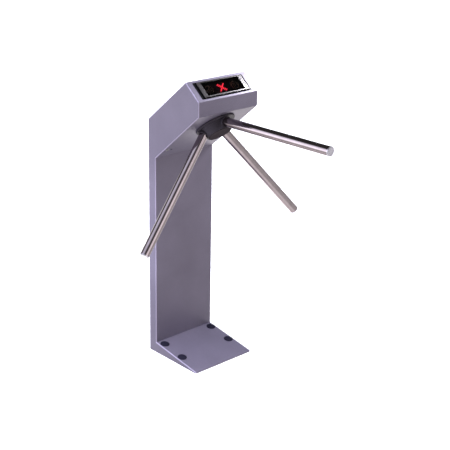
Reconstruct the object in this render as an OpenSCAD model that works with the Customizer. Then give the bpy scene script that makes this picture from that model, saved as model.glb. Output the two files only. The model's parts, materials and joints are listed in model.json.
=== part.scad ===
// Slim tripod turnstile: a folded-sheet pedestal with a slanted head, a foot
// that is anchored to the floor, and three arms on one slanted hub.
// X runs across the pedestal, -Y is the passage side, +Z is up. The origin is
// the centre of the four floor anchors, on the floor.

/* [Pedestal] */
// Width across the side panels
body_w = 271; // [240:1:330]
// Height of the head's ridge above the floor
body_h = 1050; // [900:1:1300]
// Depth of the column, front to back
column_d = 39; // [36:0.5:60]
// Reach of the foot in front of the column
foot_reach = 222; // [200:1:280]
// Height of the foot where it meets the column
foot_rise = 40; // [36:0.5:60]
// Height of the foot's front lip
lip_h = 5; // [4:0.5:8]
// Reach of the head in front of the column
head_reach = 225; // [200:1:270]
// Rise of the slanted underside, from the throat to the nose
under_rise = 189.5; // [160:0.5:220]
// Height of the head's upright front face
nose_h = 51.5; // [40:0.5:80]
// Drop from the ridge to the top of the front face
display_drop = 56.5; // [50:0.5:70]
// Distance of the ridge behind the front face
display_run = 67; // [60:0.5:80]
// Drop from the ridge to the top of the rear face
rear_drop = 162; // [130:1:190]
// Thickness of the steel sheet
wall = 2; // [1.5:0.1:2.5]
// Rounding of the long edges of the side panels
edge_r = 4; // [2:0.5:6]

/* [Foot] */
// Distance of the floor anchors from the side faces
anchor_inset = 20.5; // [19:0.5:40]
// Distance of the rear anchors in front of the column
anchor_setback = 25; // [20:1:40]
// Distance between the rear and the front anchors
anchor_pitch = 98; // [80:1:110]
// Diameter of the anchor holes in the base plate
anchor_d = 14; // [10:1:18]
// Thickness of the base plate
base_t = 6; // [4:0.5:8]
// Diameter of the black caps over the anchors
cap_d = 34; // [32:1:40]

/* [Hub and arms] */
// Distance of the hub's axis behind the underside's front edge
hub_setback = 87; // [80:1:100]
// Depth behind the panel of the point where the arms' axes meet
hub_inset = 24; // [20:1:28]
// Diameter of the hub's round flange
flange_d = 145; // [130:1:160]
// Diameter of the hub at its flange
hub_d = 110; // [104:1:120]
// Diameter of the hub at its end
hub_end_d = 92; // [88:1:100]
// Height of the hub above the panel, beyond an arm's diameter
hub_rise = 5; // [3:0.5:12]
// Diameter of the arm tubes
arm_d = 32; // [26:0.5:38]
// Wall of the arm tubes
arm_wall = 2; // [1.5:0.1:3]
// Length from the point where the arms' axes meet to an arm's tip
arm_reach = 538.5; // [400:0.5:650]

/* [Mechanism] */
// Diameter of the main shaft
shaft_d = 30; // [24:1:36]
// Outer diameter of the two bearings
bearing_d = 62; // [56:1:76]
// Width of a bearing
bearing_w = 16; // [12:1:18]
// Distance between the two bearings
bearing_gap = 16; // [12:1:20]
// Diameter over the teeth of the lock disc
lock_d = 84; // [80:1:88]
// Swing of a pawl from clear of the disc to locked, in degrees
pawl_swing = 13; // [11:0.5:14]

/* [Display] */
// Width of the opening for the display
display_w = 225; // [210:1:230]
// Length of the opening for the display, down the slope
display_l = 71; // [64:0.5:73]
// Height of the bezel above the sheet
bezel_rise = 5; // [3:0.5:7]
// Width of the bezel
bezel_w = 205; // [190:1:210]
// Length of the bezel, down the slope
bezel_l = 66; // [60:0.5:68]
// Width of the window
window_w = 169; // [150:1:174]
// Length of the window, down the slope
window_l = 54; // [46:0.5:56]

/* [Hidden] */

// Overrun of a cut past the face it starts from
over = 1;
// Gap between a cover and the opening it fills
cover_gap = 0.4;
// Clearance of a fixed pin, sleeve or disc on what it is fitted to
fit = 0.03;
// Radial clearance of a shaft or pin that turns
run = 0.05;
// Clearance round a screw's shank, and between parts that pass each other
slack = 0.3;

// Outline of the pedestal, as distances from the rear face and the floor
nose_u = column_d + head_reach;
ridge_u = nose_u - display_run;
foot_u = column_d + foot_reach;
nose_top = body_h - display_drop;
nose_low = nose_top - nose_h;
throat_h = nose_low - under_rise;
rear_h = body_h - rear_drop;
outline = [
    [0, 0], [0, rear_h], [ridge_u, body_h], [nose_u, nose_top], [nose_u, nose_low],
    [column_d, throat_h], [column_d, foot_rise], [foot_u, lip_h], [foot_u, 0]];
// Bend radius at the outer corners, and the steps of a bend and of an edge
bend_r = 3;
lip_r_share = 0.3;
bend_steps = 4;
edge_steps = 5;

// Slopes of the slanted faces, and the lengths along them
panel_a = atan2(under_rise, head_reach);
panel_len = norm([under_rise, head_reach]);
display_a = atan2(display_drop, display_run);
display_len = norm([display_drop, display_run]);
lid_a = atan2(rear_drop, ridge_u);
lid_len = norm([rear_drop, ridge_u]);
foot_a = atan2(foot_rise - lip_h, foot_reach);

// Anchor pattern, whose centre is the origin
anchor_w = body_w - 2 * anchor_inset;
rear_y = column_d + anchor_setback + anchor_pitch / 2;

// Covers, and the ledges behind their edges
cover_margin = 3;
cover_corner = 2.5;
cover_w = body_w - 2 * (edge_r + cover_margin);
ledge_w = 12;
cover_low = 30;
cover_end = 20;
cover_l = rear_h - cover_low - cover_end;
lid_end = 12;
lid_l = lid_len - 2 * lid_end;
panel_low_end = 3;
panel_top_end = 3;
panel_l = panel_len - panel_low_end - panel_top_end;

// Button-head screws of the covers
screw_d = 5;
screw_head_d = 9;
screw_head_h = 2.2;
screw_len = 10;
screw_rows_share = [-0.5, 0, 0.5];

// Hub frame: its origin is on the panel, on the hub's axis, with Z outwards
hub_s = panel_len - hub_setback;
hub_u = column_d + hub_s * cos(panel_a);
hub_z = throat_h + hub_s * sin(panel_a);
arm_a = 90 - panel_a;

// Hub: a hollow cover round a steel core
hub_h = arm_d + hub_rise;
hub_gap = 1;
flange_t = 4.5;
flange_edge = 1.2;
hub_wall = 3;
hub_cap_t = 3;
hub_cap_edge = 1.5;
hub_rim = 3;
cap_seat_h = 3;
cap_skirt = 3;
collar_w = 4;
collar_end = 70;
arm_start = 62;
spigot_root = 20;
spigot_end = 110;
core_back = 2;
core_d = 68;
core_top = hub_h - cap_seat_h - hub_wall;
hub_top_r = hub_end_d / 2;
hub_cap_r = hub_top_r - hub_rim;
hub_cap_top = hub_h + hub_cap_t;
bolt_d = 10;
bolt_head_d = 18;
bolt_head_h = 3.6;
washer_d = 21;
washer_t = 2;
bolt_access_d = 24;
nose_recess = 8;
shaft_nose = core_top - nose_recess;
bolt_reach = 28;
hub_screw_d = 4;
hub_screw_head_d = 7;
hub_screw_head_h = 2.4;
hub_screw_len = 12;
hub_screw_at = 24;

// Main shaft, key and nut
shaft_r = shaft_d / 2;
shoulder_w = 3;
shoulder_r = shaft_r + shoulder_w;
key_w = 8;
key_h = 7;
key_len = 16;
nut_wall = 6;
nut_t = 5.5;
shaft_tail = 2;

// Depths behind the panel: the two plates, the housing and the discs
chassis_at = 8;
chassis_t = 6;
plate_in = chassis_at + chassis_t;
housing_lip = 2;
housing_len = 2 * bearing_w + bearing_gap + housing_lip;
back_at = plate_in + housing_len;
back_t = 4;
back_in = back_at + back_t;
lock_gap = 4;
lock_t = 8;
lock_at = back_in + lock_gap;
cam_gap = 3;
cam_t = 10;
cam_at = lock_at + lock_t + cam_gap;
encoder_gap = 5;
encoder_t = 1.5;
encoder_at = cam_at + cam_t + encoder_gap;
nut_at = encoder_at + encoder_t;
shaft_end = nut_at + nut_t + shaft_tail;

// Chassis plate, its brackets, the back plate and the standoffs between them
chassis_side_gap = 27.5;
chassis_w = body_w - 2 * chassis_side_gap;
chassis_low = 190;
chassis_top = 70;
bracket_t = 3;
bracket_low = 125;
bracket_top = 60;
bracket_leg = 40;
bracket_foot = 36;
back_side_gap = 17.5;
back_w = body_w - 2 * back_side_gap;
back_low = 78;
back_top = 58;
standoff_d = 12;
standoff_inset = 18;
standoff_edge = 10;
housing_flange_w = 17;
housing_flange_d = bearing_d + 2 * housing_flange_w;
housing_flange_t = 8;
housing_wall = 7;
ring_t = 1.5;
ring_w = 4;
boss_w = 4.5;

// Lock disc: three teeth in line with the arms, and a pawl beside two of them
tooth_h = 10;
lock_root_d = lock_d - 2 * tooth_h;
tooth_half_a = 8;
tooth_as = [90, 210, 330];
pawl_a = 195;
pawl_t = 7;
pawl_bite = 7;
pawl_pivot = [-56, 30];
pawl_boss_r = 9;
pawl_w = 10;
pawl_nose_w = 7;
pawl_nose_at = 51;
pawl_pin_d = 10;
pin_head_w = 3;
pin_head_t = 2;
pawl_mid = lock_at + lock_t / 2;

// Solenoids that push the pawls
solenoid_size = [40, 28];
solenoid_h = 2 * (pawl_mid - back_in);
solenoid_y = -9;
solenoid_x = -76;
plunger_d = 10;
plunger_len = 39.5;
plunger_gap = 1;
plunger_tip = 1;
plunger_bore_back = 4;
coil_slot = 1.5;

// Detent: a three-lobed cam and a sprung lever with a roller
cam_d = 64;
cam_low_d = 46;
lobe_a_share = 1 / 3;
roller_d = 18;
roller_gap = 0.8;
roller_pin_d = 8;
roller_t = 8;
lever_pivot = [-58, -60];
lever_t = 4;
lever_w = 14;
lever_boss_d = 20;
detent_pin_d = 10;
spring_d = 23;
spring_wire = 2.5;

// Encoder disc and its sensor
encoder_d = 68;
encoder_slots = 24;
encoder_slot = [6, 2.5];
encoder_rim = 3;
sensor_w = 14;
sensor_depth = 8;
sensor_wall = 2;
sensor_air = 1.2;
sensor_post_gap = 3;
sensor_post = 6;

// Control board
board_w = 160;
board_l = 84;
board_t = 1.6;
board_y = -143;
board_lift = 8;
board_post_d = 7;
board_edge = 6;
relay_size = [18, 15, 15];
chip_size = [22, 22, 3];
can_d = 16;
can_h = 24;
terminal_size = [70, 10, 14];
terminal_ways = 10;

// Release lock and the screws in the panel
lock_inset = 17;
lock_x = lock_inset - body_w / 2;
lock_y = -148;
lock_body_d = 14;
lock_face_d = 16;
lock_face_t = 1.2;
lock_body_len = 18;
barrel_d = 11;
barrel_out = 2.2;
keyhole = [1.6, 6];
keyhole_depth = 6;
lock_nut_d = 22;
lock_nut_t = 4;
lock_cam_t = 2;
lock_cam_len = 22;
lock_cam_w = 9;
panel_screw_inset = 12;
panel_screw_x = chassis_w / 2 - panel_screw_inset;
panel_screw_y = -154;
spacer_wall = 3;
panel_head_d = 8;

// Base plate, inner frame and grommet
base_reach = 199;
base_gap = 0.5;
cable_d = 24;
cable_ahead = 36;
grommet_wall = 8;
grommet_lip = 4;
grommet_lip_t = 3;
post_w = 25;
post_wall = 2.5;
post_inset = 23;
post_back = 6;
post_top = 28;
tie_h = 25;
cap_head_t = 3.5;
cap_edge = 2;
cap_step = 3;
cap_plug_len = 7;
cap_plug_wall = 2;

// Display: tray, bezel, window, board and symbols
display_shift = 0.7;
tray_depth = 16;
tray_wall = 2;
tray_sink = 1;
tray_lip = 4;
bezel_edge = 2;
bezel_bevel = 1.5;
window_seat = 2;
window_sink = 1.2;
window_t = 2.5;
lamp_board_lift = 6;
lamp_board_gap = 1;
lamp_post_d = 6;
lamp_post_inset = 8;
symbol_top = 0;
symbol_pitch = 58;
cross_size = 36;
cross_stroke = 5;
ring_outer_d = 34;
ring_inner_d = 26;
arrow_l = 16;
arrow_w = 12;

// Colours
painted = [0.52, 0.50, 0.58];
painted_light = [0.60, 0.58, 0.66];
black_plastic = [0.10, 0.10, 0.12];
steel = [0.66, 0.66, 0.68];
polished = [0.82, 0.82, 0.85];
zinc = [0.72, 0.72, 0.70];
dark_steel = [0.30, 0.30, 0.32];
brass = [0.78, 0.66, 0.36];
board_green = [0.10, 0.36, 0.20];
terminal_green = [0.20, 0.45, 0.30];
copper = [0.72, 0.42, 0.20];
rubber = [0.08, 0.08, 0.08];
lamp_red = [0.95, 0.10, 0.15];
lamp_dark = [0.22, 0.17, 0.14];
smoked = [0.05, 0.05, 0.06, 0.6];

// Geometry of the outline
function unit(v) = v / norm(v);
function right_of(v) = [v.y, -v.x];
function turned(v, a) = [v.x * cos(a) - v.y * sin(a), v.x * sin(a) + v.y * cos(a)];

// Corner b of the path a, b, c, after its two edges move in by d1 and d2
function inset_corner(a, b, c, d1, d2) =
    let (e1 = unit(b - a), e2 = unit(c - b))
    let (p1 = b + right_of(e1) * d1, p2 = b + right_of(e2) * d2)
    p1 + e1 * cross(p2 - p1, e2) / cross(e1, e2);

function inset(path, ds) = let (n = len(path)) [
    for (i = [0:n - 1])
        inset_corner(path[(i + n - 1) % n], path[i], path[(i + 1) % n], ds[(i + n - 1) % n], ds[i])];

// Corner b bent to radius r, as an arc of a few points
function bent_corner(a, b, c, r) =
    let (e1 = unit(b - a), e2 = unit(c - b), turn = acos(e1 * e2), side = sign(cross(e1, e2)))
    let (out = right_of(e1) * side * r, start = b - e1 * r * tan(turn / 2))
    [for (k = [0:bend_steps]) start - out + turned(out, side * turn * k / bend_steps)];

function bent(path, rs) = let (n = len(path)) [
    for (i = [0:n - 1])
        each rs[i] == 0 ? [path[i]]
            : bent_corner(path[(i + n - 1) % n], path[i], path[(i + 1) % n], rs[i])];

// Column, head and foot as convex outlines that overlap, each with the radius of
// its bends and with how far its edges draw in towards the side panels
lid_z = rear_h + rear_drop * column_d / ridge_u;
column_outline = [[0, -over], [0, rear_h], [column_d, lid_z], [column_d, -over]];
column_bends = [0, bend_r, 0, 0];
column_draws = [edge_r, edge_r, edge_r, 0];
head_outline = [
    [0, throat_h - column_d * tan(panel_a)], [0, rear_h], [ridge_u, body_h],
    [nose_u, nose_top], [nose_u, nose_low]];
head_bends = [0, bend_r, bend_r, bend_r, bend_r];
head_draws = [edge_r, edge_r, edge_r, edge_r, edge_r];
foot_outline = [
    [0, -over], [0, foot_rise + column_d * tan(foot_a)], [foot_u, lip_h], [foot_u, -over]];
foot_bends = [0, 0, lip_h * lip_r_share, 0];
foot_draws = [edge_r, edge_r, edge_r, 0];

// A convex outline across the pedestal, with its edges rounded at both side panels
module rounded_body(path, rs, draws) {
    hull() {
        for (k = [0:edge_steps]) {
            a = 90 * k / edge_steps;
            across(body_w - 2 * edge_r * (1 - cos(a)))
                polygon([for (p = bent(inset(path, draws * (1 - sin(a))), rs)) [rear_y - p.x, p.y]]);
        }
    }
}

// Frames of reference
module across(w) {
    rotate([90, 0, 90])
        linear_extrude(w, center = true)
            children();
}

module at_hub() {
    translate([0, rear_y - hub_u, hub_z])
        rotate([180 - panel_a, 0, 0])
            children();
}

// A depth behind the panel, along the hub's axis
module behind(depth) {
    translate([0, 0, -depth])
        children();
}

module at_display() {
    s = display_len / 2 + display_shift;
    translate([0, rear_y - ridge_u - s * cos(display_a), body_h - s * sin(display_a)])
        rotate([display_a, 0, 0])
            children();
}

module at_lid() {
    translate([0, rear_y - ridge_u / 2, (rear_h + body_h) / 2])
        rotate([-lid_a, 0, 0])
            children();
}

// The foot's sloping top, at a distance from the rear face
module at_foot(x, u) {
    translate([x, rear_y - u, foot_rise - (u - column_d) * tan(foot_a)])
        rotate([foot_a, 0, 0])
            children();
}

module at_anchors() {
    for (x = [-anchor_w / 2, anchor_w / 2])
        for (y = [-anchor_pitch / 2, anchor_pitch / 2])
            translate([x, y, 0])
                children();
}

module at_anchor_caps() {
    for (x = [-anchor_w / 2, anchor_w / 2])
        for (u = [column_d + anchor_setback, column_d + anchor_setback + anchor_pitch])
            at_foot(x, u)
                children();
}

// Arm k's own frame: Z along the arm, from the point where the arms meet
module at_arm(k) {
    at_hub()
        behind(hub_inset)
            rotate([0, 0, 120 * k])
                rotate([-arm_a, 0, 0])
                    children();
}

module left_and_right() {
    children();
    mirror([1, 0, 0])
        children();
}

// A plate in the XY plane, from z1 up to z2
module slab(w, y1, y2, z1, z2) {
    translate([-w / 2, y1, z1])
        cube([w, y2 - y1, z2 - z1]);
}

module tube(r_out, r_in, h) {
    difference() {
        cylinder(h = h, r = r_out, $fn = 64);
        translate([0, 0, -over])
            cylinder(h = h + 2 * over, r = r_in, $fn = 64);
    }
}

// A slab with rounded corners
module rounded_slab(w, l, r, z1, z2) {
    hull() {
        for (x = [r - w / 2, w / 2 - r])
            for (y = [r - l / 2, l / 2 - r])
                translate([x, y, z1])
                    cylinder(h = z2 - z1, r = r, $fn = 24);
    }
}

// A frame of sheet behind a cover's edges, before the cover's opening is cut
module ledge(w, l) {
    difference() {
        slab(w + 2 * cover_margin, -(l + cover_margin) / 2, (l + cover_margin) / 2, -2 * wall, -wall / 2);
        rounded_slab(w - 2 * ledge_w, l - 2 * ledge_w, cover_corner, -2 * wall - over, over);
    }
}

module cover_opening(w, l) {
    rounded_slab(w, l, cover_corner, -wall, over);
}

module cover_sheet(w, l) {
    rounded_slab(w - 2 * cover_gap, l - 2 * cover_gap, cover_corner - cover_gap, -wall, 0);
}

// Places of the screws along both long edges of a cover
module at_cover_screws(w, l) {
    for (x = [-1, 1])
        for (row = screw_rows_share)
            translate([x * (w - ledge_w) / 2, row * (l - ledge_w), 0])
                children();
}

module screw_hole() {
    translate([0, 0, -2 * wall - over])
        cylinder(h = 2 * wall + 2 * over, d = screw_d + 2 * slack, $fn = 24);
}

// A button-head screw whose head sits on Z = 0
module button_screw(d, head_d, head_h, length) {
    cylinder(h = head_h / 2, d = head_d, $fn = 32);
    translate([0, 0, head_h / 2])
        cylinder(h = head_h / 2, d1 = head_d, d2 = head_d - head_h, $fn = 32);
    translate([0, 0, -length])
        cylinder(h = length, d = d, $fn = 24);
}

// Frame of the rear face: Z outwards, Y down
module at_rear() {
    translate([0, rear_y, cover_low + cover_l / 2])
        rotate([-90, 0, 0])
            children();
}

// Frame of the slanted underside's panel, centred on it
panel_mid = panel_low_end + panel_l / 2 - hub_s;
module at_panel() {
    at_hub()
        translate([0, panel_mid, 0])
            children();
}

// Sheet-metal casing of the pedestal
module shell_skin() {
    difference() {
        union() {
            rounded_body(column_outline, column_bends, column_draws);
            rounded_body(head_outline, head_bends, head_draws);
            rounded_body(foot_outline, foot_bends, foot_draws);
        }
        translate([-body_w, -body_h, -body_h])
            cube([2 * body_w, 2 * body_h, body_h]);
    }
}

module shell_cavity() {
    walls = [wall, wall, wall, wall, wall, wall, wall, wall, -over];
    across(body_w - 2 * wall)
        polygon([for (p = inset(outline, walls)) [rear_y - p.x, p.y]]);
}

module body_shell() {
    color(painted)
        difference() {
            union() {
                difference() {
                    shell_skin();
                    shell_cavity();
                }
                at_rear()
                    ledge(cover_w, cover_l);
                at_lid()
                    ledge(cover_w, lid_l);
                at_panel()
                    ledge(cover_w, panel_l);
            }
            at_rear() {
                cover_opening(cover_w, cover_l);
                at_cover_screws(cover_w, cover_l)
                    screw_hole();
            }
            at_lid() {
                cover_opening(cover_w, lid_l);
                at_cover_screws(cover_w, lid_l)
                    screw_hole();
            }
            at_panel()
                cover_opening(cover_w, panel_l);
            at_hub()
                translate([lock_x, lock_y, -2 * wall - over])
                    cylinder(h = 2 * wall + over, d = lock_nut_d + 2 * slack, $fn = 32);
            at_display()
                rounded_slab(display_w, display_l, cover_corner, -wall - over, over);
            at_anchor_caps()
                translate([0, 0, -wall - over])
                    cylinder(h = wall + 2 * over, d = cap_d - 2 * cap_step, $fn = 48);
        }
}

module mechanism_panel() {
    color(painted)
        difference() {
            at_panel()
                cover_sheet(cover_w, panel_l);
            at_hub() {
                behind(wall + over)
                    cylinder(h = wall + 2 * over, r = hub_d / 2 - hub_wall, $fn = 96);
                translate([lock_x, lock_y, -wall - over])
                    cylinder(h = wall + 2 * over, d = lock_body_d + slack, $fn = 32);
                for (x = [-panel_screw_x, panel_screw_x])
                    translate([x, panel_screw_y, -wall - over])
                        cylinder(h = wall + 2 * over, d = panel_head_d + slack, $fn = 24);
            }
        }
}

module rear_cover() {
    color(painted)
        at_rear()
            difference() {
                cover_sheet(cover_w, cover_l);
                at_cover_screws(cover_w, cover_l)
                    screw_hole();
            }
}

module service_lid() {
    color(painted)
        at_lid()
            difference() {
                cover_sheet(cover_w, lid_l);
                at_cover_screws(cover_w, lid_l)
                    screw_hole();
            }
}

module cover_screws() {
    color(zinc) {
        at_rear()
            at_cover_screws(cover_w, cover_l)
                button_screw(screw_d, screw_head_d, screw_head_h, screw_len);
        at_lid()
            at_cover_screws(cover_w, lid_l)
                button_screw(screw_d, screw_head_d, screw_head_h, screw_len);
    }
}

// Two flush screws that hold the panel to the chassis plate, through spacers
module at_panel_screws() {
    at_hub()
        for (x = [-panel_screw_x, panel_screw_x])
            translate([x, panel_screw_y, 0])
                children();
}

module panel_screws() {
    color(black_plastic)
        at_panel_screws() {
            behind(wall)
                cylinder(h = wall, d = panel_head_d, $fn = 24);
            behind(plate_in + wall)
                cylinder(h = plate_in, d = screw_d, $fn = 24);
        }
}

module panel_spacers() {
    color(zinc)
        at_panel_screws()
            behind(chassis_at)
                tube(screw_d / 2 + spacer_wall, screw_d / 2 + slack, chassis_at - wall);
}

// Steel plate that the anchors hold to the floor
module base_plate() {
    w = body_w - 2 * (wall + base_gap);
    back = rear_y - wall - base_gap;
    color(dark_steel)
        difference() {
            slab(w, rear_y - column_d - base_reach, back, 0, base_t);
            at_anchors()
                translate([0, 0, -over])
                    cylinder(h = base_t + 2 * over, d = anchor_d, $fn = 32);
            translate([0, rear_y - column_d - cable_ahead, -over])
                cylinder(h = base_t + 2 * over, r = cable_d / 2 + grommet_wall, $fn = 48);
        }
}

module inner_frame() {
    depth = column_d - wall - post_back;
    top = throat_h + post_top;
    x0 = body_w / 2 - wall - post_inset - post_w;
    color(dark_steel) {
        left_and_right()
            translate([x0, rear_y - column_d + wall, base_t])
                difference() {
                    cube([post_w, depth, top - base_t]);
                    translate([post_wall, post_wall, -over])
                        cube([post_w - 2 * post_wall, depth - 2 * post_wall, top - base_t + 2 * over]);
                }
        slab(2 * x0, rear_y - post_back - post_wall, rear_y - post_back, top - tie_h, top);
    }
}

module cable_grommet() {
    r = cable_d / 2;
    color(rubber)
        translate([0, rear_y - column_d - cable_ahead, 0]) {
            tube(r + grommet_wall - fit, r, base_t);
            translate([0, 0, base_t])
                tube(r + grommet_wall + grommet_lip, r, grommet_lip_t);
        }
}

// Domed black caps that plug the access holes over the anchors
module anchor_caps() {
    r = cap_d / 2;
    plug_r = r - cap_step - slack;
    color(black_plastic)
        at_anchor_caps() {
            cylinder(h = cap_head_t - cap_edge, r = r, $fn = 64);
            translate([0, 0, cap_head_t - cap_edge])
                cylinder(h = cap_edge, r1 = r, r2 = r - 2 * cap_edge, $fn = 64);
            translate([0, 0, -cap_plug_len])
                tube(plug_r, plug_r - cap_plug_wall, cap_plug_len);
        }
}

module chassis_plate() {
    color(steel)
        at_hub()
            difference() {
                slab(chassis_w, -chassis_low, chassis_top, -plate_in, -chassis_at);
                behind(plate_in + over)
                    cylinder(h = chassis_t + 2 * over, r = shoulder_r + over, $fn = 64);
                for (x = [-panel_screw_x, panel_screw_x])
                    translate([x, panel_screw_y, -plate_in - over])
                        cylinder(h = chassis_t + 2 * over, d = screw_d + slack, $fn = 24);
            }
}

// Angles that carry the chassis plate from the side panels
module chassis_brackets() {
    edge = body_w / 2 - wall;
    color(steel)
        at_hub()
            left_and_right() {
                translate([edge - bracket_t, -bracket_low, -bracket_leg])
                    cube([bracket_t, bracket_low + bracket_top, bracket_leg - chassis_at + bracket_t]);
                translate([edge - bracket_foot, -bracket_low, -chassis_at])
                    cube([bracket_foot - bracket_t, bracket_low + bracket_top, bracket_t]);
            }
}

module at_standoffs() {
    for (x = [-1, 1])
        for (y = [-back_low + standoff_edge, back_top - standoff_edge])
            translate([x * (back_w / 2 - standoff_inset), y, 0])
                children();
}

module plate_standoffs() {
    color(zinc)
        at_hub()
            behind(back_at)
                at_standoffs()
                    cylinder(h = housing_len, d = standoff_d, $fn = 32);
}

module back_plate() {
    color(steel)
        at_hub()
            difference() {
                slab(back_w, -back_low, back_top, -back_in, -back_at);
                behind(back_in + over) {
                    cylinder(h = back_t + 2 * over, r = shoulder_r + ring_w + over, $fn = 64);
                    left_and_right()
                        translate(pawl_pivot)
                            cylinder(h = back_t + 2 * over, r = pawl_pin_d / 2 + fit, $fn = 32);
                    translate(lever_pivot)
                        cylinder(h = back_t + 2 * over, r = detent_pin_d / 2 + fit, $fn = 32);
                }
            }
}

module bearing_housing() {
    r = bearing_d / 2;
    color(dark_steel)
        at_hub()
            difference() {
                union() {
                    behind(plate_in + housing_flange_t)
                        cylinder(h = housing_flange_t, d = housing_flange_d, $fn = 96);
                    behind(back_at)
                        cylinder(h = housing_len, r = r + housing_wall, $fn = 96);
                }
                behind(back_at - housing_lip)
                    cylinder(h = housing_len - housing_lip + over, r = r + fit, $fn = 96);
                behind(back_at + over)
                    cylinder(h = housing_lip + 2 * over, r = shoulder_r + ring_w, $fn = 64);
            }
}

module bearing(depth) {
    r = bearing_d / 2;
    groove = bearing_w / 8;
    color(polished)
        at_hub()
            behind(depth + bearing_w)
                difference() {
                    tube(r, shaft_r + run, bearing_w);
                    for (z = [-over, bearing_w - groove])
                        translate([0, 0, z])
                            tube(r - shoulder_w, shoulder_r, groove + over);
                }
}

module front_bearing() {
    bearing(plate_in);
}

module rear_bearing() {
    bearing(plate_in + bearing_w + bearing_gap);
}

module main_shaft() {
    color(polished)
        at_hub()
            difference() {
                union() {
                    behind(shaft_end)
                        cylinder(h = shaft_end + shaft_nose, r = shaft_r, $fn = 64);
                    behind(plate_in - slack)
                        cylinder(h = plate_in - slack + core_back, r = shoulder_r, $fn = 64);
                }
                translate([0, 0, shaft_nose - bolt_reach])
                    cylinder(h = bolt_reach + over, d = bolt_d, $fn = 32);
                key_block(fit);
            }
}

// The key's space: half its height in the shaft and half in the hub's core
module key_block(gap) {
    w = key_w + 2 * gap;
    h = key_h + 2 * gap;
    translate([-w / 2, shaft_r - h / 2, core_back - gap])
        cube([w, h, key_len + 2 * gap]);
}

module shaft_key() {
    color(steel)
        at_hub()
            key_block(0);
}

module bearing_spacer() {
    color(zinc)
        at_hub()
            behind(plate_in + bearing_w + bearing_gap - slack)
                tube(shoulder_r, shaft_r + fit, bearing_gap - 2 * slack);
}

module shaft_ring() {
    color(dark_steel)
        at_hub()
            behind(back_at - housing_lip + slack + ring_t)
                tube(shoulder_r, shaft_r + fit, ring_t);
}

// Outline of the lock disc: a low rim with three teeth
tooth_steps = 4;
rim_steps = 13;
function polar(r, a) = r * [cos(a), sin(a)];
lock_outline = [
    for (a = tooth_as)
        each concat(
            [for (k = [0:tooth_steps]) polar(lock_d / 2, a + tooth_half_a * (2 * k / tooth_steps - 1))],
            [for (k = [0:rim_steps])
                polar(lock_root_d / 2, a + tooth_half_a + (120 - 2 * tooth_half_a) * k / rim_steps)])];

module lock_disc() {
    color(steel)
        at_hub()
            difference() {
                union() {
                    behind(lock_at + lock_t)
                        linear_extrude(lock_t)
                            polygon(lock_outline);
                    behind(lock_at)
                        cylinder(h = lock_gap, r = shaft_r + boss_w, $fn = 64);
                }
                behind(lock_at + lock_t + over)
                    cylinder(h = lock_t + lock_gap + 2 * over, r = shaft_r + fit, $fn = 64);
            }
}

// Cam with three lobes in line with the arms, and a low place between two lobes
module detent_cam() {
    lobe_at = cam_d / 2 - cam_d * lobe_a_share / 2;
    color(steel)
        at_hub()
            difference() {
                union() {
                    behind(cam_at + cam_t) {
                        cylinder(h = cam_t, d = cam_low_d, $fn = 96);
                        for (a = tooth_as)
                            rotate([0, 0, a])
                                translate([lobe_at, 0, 0])
                                    cylinder(h = cam_t, d = cam_d * lobe_a_share, $fn = 64);
                    }
                    behind(cam_at)
                        cylinder(h = cam_gap, r = shaft_r + boss_w, $fn = 64);
                }
                behind(cam_at + cam_t + over)
                    cylinder(h = cam_t + cam_gap + 2 * over, r = shaft_r + fit, $fn = 64);
            }
}

module encoder_disc() {
    slot_at = encoder_d / 2 - encoder_rim - encoder_slot.x;
    color(dark_steel)
        at_hub()
            difference() {
                union() {
                    behind(encoder_at + encoder_t)
                        cylinder(h = encoder_t, d = encoder_d, $fn = 96);
                    behind(encoder_at)
                        cylinder(h = encoder_gap, r = shaft_r + boss_w, $fn = 64);
                }
                behind(encoder_at + encoder_t + over) {
                    cylinder(h = encoder_t + encoder_gap + 2 * over, r = shaft_r + fit, $fn = 64);
                    for (k = [0:encoder_slots - 1])
                        rotate([0, 0, 360 * k / encoder_slots])
                            translate([slot_at, -encoder_slot.y / 2, 0])
                                cube([encoder_slot.x, encoder_slot.y, encoder_t + over]);
                }
            }
}

module shaft_nut() {
    color(zinc)
        at_hub()
            behind(nut_at + nut_t)
                difference() {
                    cylinder(h = nut_t, r = shaft_r + nut_wall, $fn = 6);
                    translate([0, 0, -over])
                        cylinder(h = nut_t + 2 * over, r = shaft_r + fit, $fn = 64);
                }
}

// Forked light sensor astride the encoder disc's rim, on a post outside the discs
module disc_sensor() {
    inner = encoder_d / 2 - sensor_depth;
    bridge = encoder_d / 2 + sensor_air;
    post = lock_d / 2 + sensor_post_gap;
    low = encoder_at - sensor_air;
    high = encoder_at + encoder_t + sensor_air;
    color(black_plastic)
        at_hub() {
            slab(sensor_w, inner, post + sensor_post, -high - sensor_wall, -high);
            slab(sensor_w, inner, bridge + sensor_wall, -low, -low + sensor_wall);
            slab(sensor_w, bridge, bridge + sensor_wall, -high, -low);
            slab(sensor_w, post, post + sensor_post, -high - sensor_wall, -back_in);
        }
}

// A pawl in the hub's frame, at rest: its nose stands clear of the lock disc
module pawl_shape() {
    nose_mid = pawl_nose_at * [cos(pawl_a), sin(pawl_a)];
    arm_v = nose_mid - pawl_pivot;
    tip_r = lock_d / 2 - pawl_bite;
    translate(pawl_pivot)
        rotate([0, 0, -pawl_swing]) {
            circle(r = pawl_boss_r, $fn = 48);
            rotate([0, 0, atan2(arm_v.y, arm_v.x)])
                translate([0, -pawl_w / 2])
                    square([norm(arm_v), pawl_w]);
            translate(arm_v) {
                circle(d = pawl_w, $fn = 32);
                rotate([0, 0, pawl_a + 180])
                    translate([0, -pawl_nose_w / 2])
                        square([pawl_nose_at - tip_r, pawl_nose_w]);
            }
        }
}

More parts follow.
